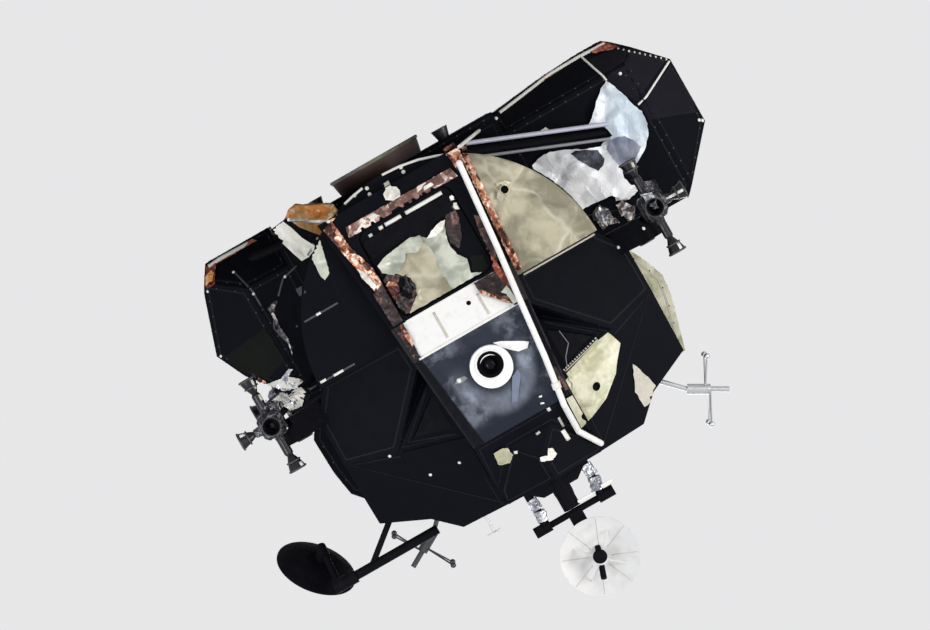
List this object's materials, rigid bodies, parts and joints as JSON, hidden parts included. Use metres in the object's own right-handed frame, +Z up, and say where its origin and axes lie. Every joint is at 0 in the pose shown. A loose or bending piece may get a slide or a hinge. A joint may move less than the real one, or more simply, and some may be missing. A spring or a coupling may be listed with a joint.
{
  "type": "lunar module ascent stage",
  "caption": "Crewed lunar module ascent stage with hollow cabin, hatches, thruster quads, engine bell and steerable radar and antenna dishes.",
  "frame": {"origin": "centre of the rectangle of the four interstage fittings' feet, on the axis of the engine bell and docking tunnel", "axes": "+Z up through the docking tunnel, -Y towards the front face with the windows and hatch, +X towards the small propellant bay, which is on the right seen from the front"},
  "size_m": [4.7144, 3.9715, 3.839],
  "materials": {
    "black_paint": "matte",
    "tan_film": "satin",
    "silver_foil": "crinkled gloss",
    "copper_foil": "crinkled gloss",
    "white_paint": "matte",
    "grey_metal": "satin",
    "bare_metal": "satin",
    "dark_nozzle": "matte",
    "dish_white": "satin",
    "glass": "gloss"
  },
  "bodies": {
    "ascent_stage": {"aft_bay": "black_paint", "aft_shield": "tan_film", "ascent_engine": "dark_nozzle", "base_shield": "copper_foil", "bay_strut_left": "grey_metal", "bay_strut_right": "white_paint", "boom_front_left": "silver_foil", "boom_front_right": "silver_foil", "boom_rear_left": "silver_foil", "boom_rear_right": "silver_foil", "brow_panel": "black_paint", "brow_plate_left": "tan_film", "brow_plate_right": "black_paint", "cabin_barrel": "black_paint", "cabin_bulkhead": "black_paint", "cabin_floor": "bare_metal", "docking_drogue": "bare_metal", "docking_target": "white_paint", "docking_tunnel": "bare_metal", "docking_window": "glass", "handrail": "white_paint", "hatch_frame": "copper_foil", "interstage_fittings": "bare_metal", "lower_face_left": "tan_film", "lower_face_right": "black_paint", "midsection": "black_paint", "nose_apron": "white_paint", "nose_panel": "grey_metal", "quad_front_left": "grey_metal", "quad_front_right": "grey_metal", "quad_rear_left": "grey_metal", "quad_rear_right": "grey_metal", "radar_mount": "black_paint", "s_band_boom": "black_paint", "skin_flap": "tan_film", "tank_bay_left": "black_paint", "tank_bay_right": "black_paint", "tracking_light": "white_paint", "umbilical_housing": "copper_foil", "upper_bay_left": "tan_film", "upper_bay_right": "black_paint", "vhf_antenna_left": "white_paint", "vhf_antenna_right": "white_paint", "window_glass_left": "glass", "window_glass_right": "glass", "window_panel_left": "black_paint", "window_panel_right": "black_paint"},
    "forward_hatch": {"forward_hatch": "tan_film"},
    "overhead_hatch": {"overhead_hatch": "bare_metal"},
    "radar_yoke": {"radar_yoke": "black_paint"},
    "radar_dish": {"radar_dish": "dish_white"},
    "s_band_yoke": {"s_band_yoke": "black_paint"},
    "s_band_dish": {"s_band_dish": "black_paint"}
  },
  "joints": [
    {"name": "forward_hatch_hinge", "type": "hinge", "parent": "ascent_stage", "child": "forward_hatch", "pos_m": [-0.446, -1.737, 0.755], "axis": [0, 0, 1], "range_deg": [0, 85]},
    {"name": "overhead_hatch_hinge", "type": "hinge", "parent": "ascent_stage", "child": "overhead_hatch", "pos_m": [0, 0.462, 2.34025], "axis": [1, 0, 0], "range_deg": [0, 78]},
    {"name": "radar_shaft", "type": "hinge", "parent": "ascent_stage", "child": "radar_yoke", "pos_m": [0, -1.44, 3.093], "axis": [1, 0, 0], "range_deg": [-59, 70]},
    {"name": "radar_trunnion", "type": "hinge", "parent": "radar_yoke", "child": "radar_dish", "pos_m": [0, -1.44, 3.476], "axis": [0, 0, 1], "range_deg": [-55, 55]},
    {"name": "s_band_roll", "type": "hinge", "parent": "ascent_stage", "child": "s_band_yoke", "pos_m": [1.8903, -0.98, 2.724], "axis": [1, 0, 0], "range_deg": [-100, 120]},
    {"name": "s_band_swing", "type": "hinge", "parent": "s_band_yoke", "child": "s_band_dish", "pos_m": [1.8903, -0.65826, 2.45403], "axis": [0, 0.766, -0.6428], "range_deg": [-35, 120]}
  ]
}
